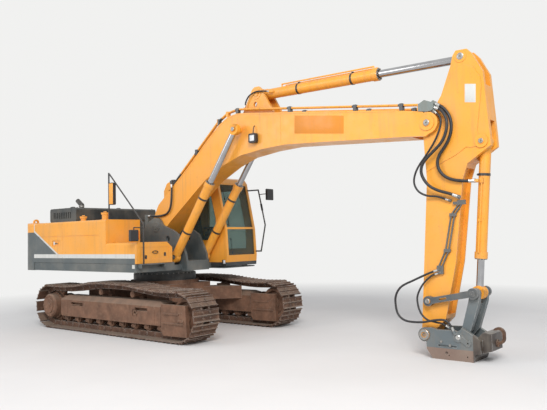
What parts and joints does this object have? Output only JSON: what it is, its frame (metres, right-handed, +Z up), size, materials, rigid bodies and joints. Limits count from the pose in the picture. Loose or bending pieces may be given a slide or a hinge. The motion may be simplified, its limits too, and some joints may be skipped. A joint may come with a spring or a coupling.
{
  "type": "crawler excavator",
  "caption": "Crawler excavator with a hollow cab, curved boom, upright stick and a quick coupler, on fixed track loops with a swinging upper structure.",
  "frame": {"origin": "on the swing axis at ground level, between the tracks", "axes": "+X ahead along the tracks and the boom, +Y to the machine's left (cab side), +Z up along the swing axis"},
  "size_m": [10.3, 3.26, 4.52],
  "materials": {
    "orange_paint": "warm orange gloss paint, lightly dusty",
    "slate_paint": "dark grey-green paint, dusty",
    "worn_track_steel": "rusty brown steel with bright worn edges",
    "rusty_paint": "rusty brown, dusty",
    "bare_steel": "bare greasy steel",
    "rod_chrome": "hard chrome",
    "black_paint": "satin black paint",
    "seat_cloth": "black seat cloth",
    "glazing": "green tinted glass",
    "coupler_paint": "scuffed blue-grey paint",
    "pipe_paint": "painted steel pipe",
    "hose_rubber": "black rubber hose"
  },
  "bodies": {
    "undercarriage": {"car_body": "rusty_paint", "swing_bearing": "bare_steel", "side_frame_right": "rusty_paint", "side_frame_left": "rusty_paint", "track_right": "worn_track_steel", "track_left": "worn_track_steel", "sprocket_right": "rusty_paint", "sprocket_left": "rusty_paint", "idler_right": "rusty_paint", "idler_left": "rusty_paint", "rollers_right": "rusty_paint", "rollers_left": "rusty_paint"},
    "upper": {"main_frame": "slate_paint", "counterweight": "slate_paint", "fuel_tank": "orange_paint", "toolbox": "orange_paint", "bay_cover": "slate_paint", "engine": "bare_steel", "left_house": "orange_paint", "cab_shell": "orange_paint", "cab_glass": "glazing", "seat": "seat_cloth", "console": "black_paint", "handrails": "black_paint", "mirror_right": "black_paint", "mirror_left": "black_paint"},
    "toolbox_lid": {"toolbox_lid": "orange_paint"},
    "pump_door": {"pump_door": "orange_paint"},
    "engine_hood": {"engine_hood": "slate_paint", "exhaust": "black_paint"},
    "radiator_door": {"radiator_door": "orange_paint"},
    "battery_door": {"battery_door": "orange_paint"},
    "cab_door": {"cab_door": "orange_paint", "door_glass": "glazing"},
    "boom": {"boom": "orange_paint", "boom_lines": "pipe_paint", "boom_lamp": "black_paint", "hose_foot": "hose_rubber"},
    "boom_barrels": {"boom_barrels": "orange_paint"},
    "boom_rods": {"boom_rods": "rod_chrome"},
    "stick": {"stick": "orange_paint", "stick_lines": "pipe_paint", "hose_a": "hose_rubber", "hose_b": "hose_rubber", "hose_c": "hose_rubber"},
    "stick_barrel": {"stick_barrel": "orange_paint", "hose_boom": "hose_rubber"},
    "stick_rod": {"stick_rod": "rod_chrome"},
    "tool_barrel": {"tool_barrel": "orange_paint"},
    "tool_rod": {"tool_rod": "rod_chrome"},
    "idler_links": {"idler_links": "black_paint"},
    "push_link": {"push_link": "coupler_paint"},
    "coupler": {"coupler": "coupler_paint", "lifting_hook": "rusty_paint", "hose_coupler_a": "hose_rubber", "hose_coupler_b": "hose_rubber"}
  },
  "joints": [
    {"name": "swing", "type": "hinge", "parent": "undercarriage", "child": "upper", "pos_m": [0, 0, 1.1], "axis": [0, 0, 1], "continuous": true},
    {"name": "boom_lift", "type": "hinge", "parent": "upper", "child": "boom", "pos_m": [0.09, 0, 2.05], "axis": [0, -1, 0], "range_deg": [-53, 48], "deforming": ["hose_foot"]},
    {"name": "boom_cylinder_tilt", "type": "hinge", "parent": "upper", "child": "boom_barrels", "pos_m": [0.78, 0, 1.44], "axis": [0, -1, 0], "range_deg": [-53, 48]},
    {"name": "boom_rod_slide", "type": "slide", "parent": "boom_barrels", "child": "boom_rods", "axis": [0.5812, 0, 0.8137], "range_m": [-0.782, 0.709]},
    {"name": "stick_in", "type": "hinge", "parent": "boom", "child": "stick", "pos_m": [6.09, 0, 3.4], "axis": [0, 1, 0], "range_deg": [-75, 41], "deforming": ["hose_a", "hose_b", "hose_c"]},
    {"name": "stick_cylinder_tilt", "type": "hinge", "parent": "boom", "child": "stick_barrel", "pos_m": [2.75, 0, 4.385], "axis": [0, 1, 0], "range_deg": [-4, 3], "deforming": ["hose_boom"]},
    {"name": "stick_rod_slide", "type": "slide", "parent": "stick_barrel", "child": "stick_rod", "axis": [0.9998, 0, -0.0221], "range_m": [-1.118, 0.613]},
    {"name": "coupler_curl", "type": "hinge", "parent": "stick", "child": "coupler", "pos_m": [5.945, 0, 0.33], "axis": [0, 1, 0], "range_deg": [-35, 135], "deforming": ["hose_coupler_a", "hose_coupler_b"]},
    {"name": "idler_link_turn", "type": "hinge", "parent": "stick", "child": "idler_links", "pos_m": [6.01, 0, 0.81], "axis": [0, 1, 0], "range_deg": [-23, 88]},
    {"name": "push_link_turn", "type": "hinge", "parent": "coupler", "child": "push_link", "pos_m": [6.455, 0, 0.33], "axis": [0, 1, 0], "range_deg": [-94, 25]},
    {"name": "tool_cylinder_tilt", "type": "hinge", "parent": "stick", "child": "tool_barrel", "pos_m": [6.855, 0, 3.055], "axis": [0, 1, 0], "range_deg": [-2, 6]},
    {"name": "tool_rod_slide", "type": "slide", "parent": "tool_barrel", "child": "tool_rod", "axis": [-0.0825, 0, -0.9966], "range_m": [-0.243, 0.924]},
    {"name": "cab_door_hinge", "type": "hinge", "parent": "upper", "child": "cab_door", "pos_m": [-0.204, 1.45, 2.15], "axis": [0, 0, 1], "range_deg": [0, 165]},
    {"name": "pump_door_hinge", "type": "hinge", "parent": "upper", "child": "pump_door", "pos_m": [-1.559, -1.402, 1.8], "axis": [0, 0, 1], "range_deg": [0, 95]},
    {"name": "radiator_door_hinge", "type": "hinge", "parent": "upper", "child": "radiator_door", "pos_m": [-2.606, 1.402, 1.8], "axis": [0, 0, 1], "range_deg": [0, 95]},
    {"name": "battery_door_hinge", "type": "hinge", "parent": "upper", "child": "battery_door", "pos_m": [-1.62, 1.402, 1.8], "axis": [0, 0, 1], "range_deg": [0, 85]},
    {"name": "engine_hood_hinge", "type": "hinge", "parent": "upper", "child": "engine_hood", "pos_m": [-1.584, 0, 2.234], "axis": [0, 1, 0], "range_deg": [0, 45]},
    {"name": "toolbox_lid_hinge", "type": "hinge", "parent": "upper", "child": "toolbox_lid", "pos_m": [-0.024, -1, 1.751], "axis": [0, -1, 0], "range_deg": [0, 80]}
  ],
  "couplings": [
    {"joint": "boom_cylinder_tilt", "follows": "boom_lift", "ratio": 0.98},
    {"joint": "boom_rod_slide", "follows": "boom_lift", "m_per_rad": 0.84},
    {"joint": "stick_cylinder_tilt", "follows": "stick_in", "ratio": 0.05},
    {"joint": "stick_rod_slide", "follows": "stick_in", "m_per_rad": 0.85},
    {"joint": "idler_link_turn", "follows": "coupler_curl", "ratio": 0.65},
    {"joint": "push_link_turn", "follows": "coupler_curl", "ratio": -0.69},
    {"joint": "tool_cylinder_tilt", "follows": "coupler_curl", "ratio": 0.04},
    {"joint": "tool_rod_slide", "follows": "coupler_curl", "m_per_rad": 0.39}
  ]
}
